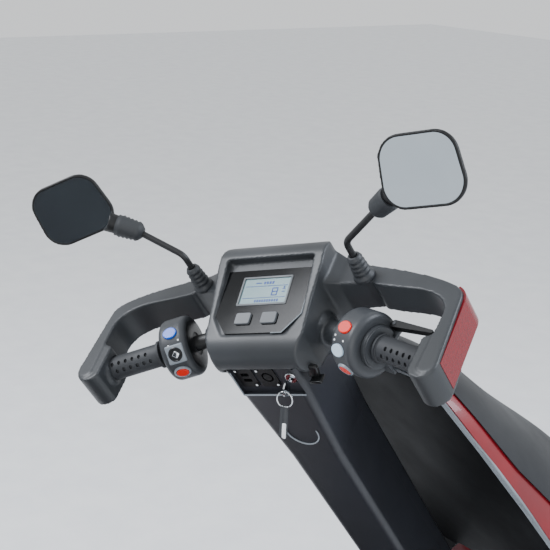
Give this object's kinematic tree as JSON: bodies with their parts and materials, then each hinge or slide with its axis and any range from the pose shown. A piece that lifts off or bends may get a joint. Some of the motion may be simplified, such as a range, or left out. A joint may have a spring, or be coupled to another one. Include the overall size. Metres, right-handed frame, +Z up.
{
  "type": "mobility scooter",
  "caption": "Three-wheeled mobility scooter with a leaning tiller, wrap-round hand guards, display console, two mirrors and a folding swivel seat.",
  "frame": {"origin": "middle of the bounding box on the ground under the tyres", "axes": "+X to the rider's right, +Y forward, +Z up"},
  "size_m": [0.6284, 1.4602, 1.2526],
  "materials": {
    "frame_paint": "semi-gloss powder coat",
    "black_plastic": "fine texture",
    "charcoal_plastic": "fine leather grain",
    "mat_rubber": "ribbed",
    "red_body": "gloss paint",
    "lamp_lens": "clear",
    "red_lens": "prismatic",
    "transaxle_alloy": "cast",
    "tyre": "moulded",
    "rim_silver": "satin",
    "bezel_black": "gloss",
    "lcd": "satin",
    "lock_chrome": "polished",
    "key_tag": "worn",
    "button_grey": "satin",
    "button_blue": "satin",
    "button_red": "satin",
    "button_pale": "satin",
    "lever_alloy": "satin",
    "mirror_glass": "silvered",
    "seat_vinyl": "soft vinyl"
  },
  "bodies": {
    "chassis": {"main_frame": "frame_paint", "floor_pan": "black_plastic", "floor_mat": "mat_rubber", "leg_shield": "black_plastic", "front_cowl": "red_body", "hood_panel": "charcoal_plastic", "headlamp_lens": "lamp_lens", "rear_cover": "red_body", "tail_lamps": "red_lens", "battery_pack": "black_plastic", "transaxle": "transaxle_alloy"},
    "rear_wheel_left": {"rear_tyre_left": "tyre", "rear_rim_left": "rim_silver"},
    "rear_wheel_right": {"rear_tyre_right": "tyre", "rear_rim_right": "rim_silver"},
    "steering": {"steering_fork": "frame_paint", "front_mudguard": "black_plastic"},
    "front_wheel": {"front_tyre": "tyre", "front_rim": "rim_silver"},
    "tiller": {"tiller_column": "frame_paint", "column_rear_cover": "charcoal_plastic", "column_front_cover": "charcoal_plastic", "console_front": "charcoal_plastic", "console_rear": "charcoal_plastic", "display_bezel": "bezel_black", "display_lcd": "lcd", "power_sockets": "black_plastic", "key_lock": "lock_chrome", "handlebar": "frame_paint", "guard_left": "charcoal_plastic", "guard_right": "charcoal_plastic", "guard_reflectors": "red_lens", "grip_left": "mat_rubber", "grip_right": "mat_rubber", "pod_left": "black_plastic", "pod_right": "black_plastic", "mirror_base_boots": "mat_rubber"},
    "throttle": {"throttle_lever": "black_plastic"},
    "brake": {"brake_lever": "lever_alloy"},
    "key": {"ignition_key": "lock_chrome"},
    "fob": {"key_fob": "key_tag"},
    "seat": {"seat_base": "frame_paint", "seat_cushion": "seat_vinyl"},
    "backrest": {"seat_backrest": "seat_vinyl"},
    "arm_left": {"armrest_left": "seat_vinyl"},
    "arm_right": {"armrest_right": "seat_vinyl"},
    "stem_left": {"mirror_stem_left": "frame_paint"},
    "mirror_left": {"mirror_shell_left": "black_plastic", "mirror_glass_left": "mirror_glass"},
    "display_button_left": {"display_button_left": "button_grey"},
    "stem_right": {"mirror_stem_right": "frame_paint"},
    "mirror_right": {"mirror_shell_right": "black_plastic", "mirror_glass_right": "mirror_glass"},
    "display_button_right": {"display_button_right": "button_grey"},
    "horn_button": {"horn_button": "button_blue"},
    "hazard_button": {"hazard_button": "button_red"},
    "dip_switch": {"dip_switch": "button_grey"},
    "light_button": {"light_button": "button_pale"},
    "stop_button_left": {"stop_button_left": "button_red"},
    "stop_button_right": {"stop_button_right": "button_red"}
  },
  "joints": [
    {"name": "steer", "type": "hinge", "parent": "chassis", "child": "steering", "pos_m": [0.01025, 0.02042, 0.939], "axis": [0, -0.5736, 0.8192], "range_deg": [-70, 20]},
    {"name": "front_wheel_spin", "type": "hinge", "parent": "steering", "child": "front_wheel", "pos_m": [0.01025, 0.59181, 0.12297], "axis": [0.9063, 0.3462, 0.2424], "continuous": true},
    {"name": "tiller_tilt", "type": "hinge", "parent": "steering", "child": "tiller", "pos_m": [0.01025, 0.43052, 0.35331], "axis": [0.9063, 0.3462, 0.2424], "range_deg": [0, 6]},
    {"name": "rear_wheel_left_spin", "type": "hinge", "parent": "chassis", "child": "rear_wheel_left", "pos_m": [-0.25275, -0.47158, 0.14], "axis": [1, 0, 0], "continuous": true},
    {"name": "rear_wheel_right_spin", "type": "hinge", "parent": "chassis", "child": "rear_wheel_right", "pos_m": [0.27325, -0.47158, 0.14], "axis": [1, 0, 0], "continuous": true},
    {"name": "seat_swivel", "type": "hinge", "parent": "chassis", "child": "seat", "pos_m": [0.01025, -0.38958, 0.402], "axis": [0, 0, 1], "range_deg": [-90, 90]},
    {"name": "backrest_fold", "type": "hinge", "parent": "seat", "child": "backrest", "pos_m": [0.01025, -0.62758, 0.586], "axis": [-1, 0, 0], "range_deg": [0, 90]},
    {"name": "armrest_lift_left", "type": "hinge", "parent": "backrest", "child": "arm_left", "pos_m": [-0.23675, -0.66158, 0.733], "axis": [1, 0, 0], "range_deg": [0, 88]},
    {"name": "armrest_lift_right", "type": "hinge", "parent": "backrest", "child": "arm_right", "pos_m": [0.25725, -0.66158, 0.733], "axis": [1, 0, 0], "range_deg": [0, 88]},
    {"name": "display_button_left_press", "type": "slide", "parent": "tiller", "child": "display_button_left", "axis": [-0.0922, 0.7217, -0.686], "range_m": [0, 0.0014], "stiffness_N_per_m": 400},
    {"name": "display_button_right_press", "type": "slide", "parent": "tiller", "child": "display_button_right", "axis": [-0.0922, 0.7217, -0.686], "range_m": [0, 0.0014], "stiffness_N_per_m": 400},
    {"name": "horn_button_press", "type": "slide", "parent": "tiller", "child": "horn_button", "axis": [-0.2392, 0.6891, -0.6841], "range_m": [0, 0.002], "stiffness_N_per_m": 400},
    {"name": "hazard_button_press", "type": "slide", "parent": "tiller", "child": "hazard_button", "axis": [0.0219, 0.7888, -0.6142], "range_m": [0, 0.002], "stiffness_N_per_m": 400},
    {"name": "dip_switch_press", "type": "slide", "parent": "tiller", "child": "dip_switch", "axis": [-0.6351, 0.7644, -0.1112], "range_m": [0, 0.002], "stiffness_N_per_m": 400},
    {"name": "light_button_press", "type": "slide", "parent": "tiller", "child": "light_button", "axis": [-0.0226, 0.9984, 0.0526], "range_m": [0, 0.002], "stiffness_N_per_m": 400},
    {"name": "stop_button_left_press", "type": "slide", "parent": "tiller", "child": "stop_button_left", "axis": [-0.7239, 0.4864, 0.4893], "range_m": [0, 0.002], "stiffness_N_per_m": 400},
    {"name": "stop_button_right_press", "type": "slide", "parent": "tiller", "child": "stop_button_right", "axis": [-0.0549, 0.742, 0.6682], "range_m": [0, 0.002], "stiffness_N_per_m": 400},
    {"name": "throttle_squeeze", "type": "hinge", "parent": "tiller", "child": "throttle", "pos_m": [0.18363, 0.07405, 0.98661], "axis": [0.0328, 0.6571, -0.7531], "range_deg": [0, 11], "stiffness_Nm_per_rad": 0.6, "springref_deg": -8.59},
    {"name": "brake_squeeze", "type": "hinge", "parent": "tiller", "child": "brake", "pos_m": [0.18688, 0.07081, 0.93413], "axis": [0.0543, -0.7535, -0.6551], "range_deg": [0, 8], "stiffness_Nm_per_rad": 0.6, "springref_deg": -8.59},
    {"name": "key_turn", "type": "hinge", "parent": "tiller", "child": "key", "pos_m": [0.07699, -0.00703, 0.8978], "axis": [0.4226, -0.7424, -0.5198], "range_deg": [-60, 30]},
    {"name": "fob_swing", "type": "hinge", "parent": "key", "child": "fob", "pos_m": [0.0884, -0.02708, 0.88377], "axis": [0.869, 0.4948, -0.0002], "range_deg": [-40, 20]},
    {"name": "mirror_swivel_left", "type": "hinge", "parent": "tiller", "child": "stem_left", "pos_m": [-0.13269, -0.00807, 0.96544], "axis": [0, -0.5736, 0.8192], "range_deg": [-30, 30]},
    {"name": "mirror_tilt_left", "type": "hinge", "parent": "stem_left", "child": "mirror_left", "pos_m": [-0.19444, -0.08366, 1.04435], "axis": [-0.633, -0.6342, -0.4441], "range_deg": [-15, 15]},
    {"name": "mirror_swivel_right", "type": "hinge", "parent": "tiller", "child": "stem_right", "pos_m": [0.10839, 0.08401, 1.02992], "axis": [0, -0.5736, 0.8192], "range_deg": [-30, 30]},
    {"name": "mirror_tilt_right", "type": "hinge", "parent": "stem_right", "child": "mirror_right", "pos_m": [0.16084, 0.05204, 1.13938], "axis": [-0.9063, -0.3462, -0.2424], "range_deg": [-15, 15]}
  ]
}
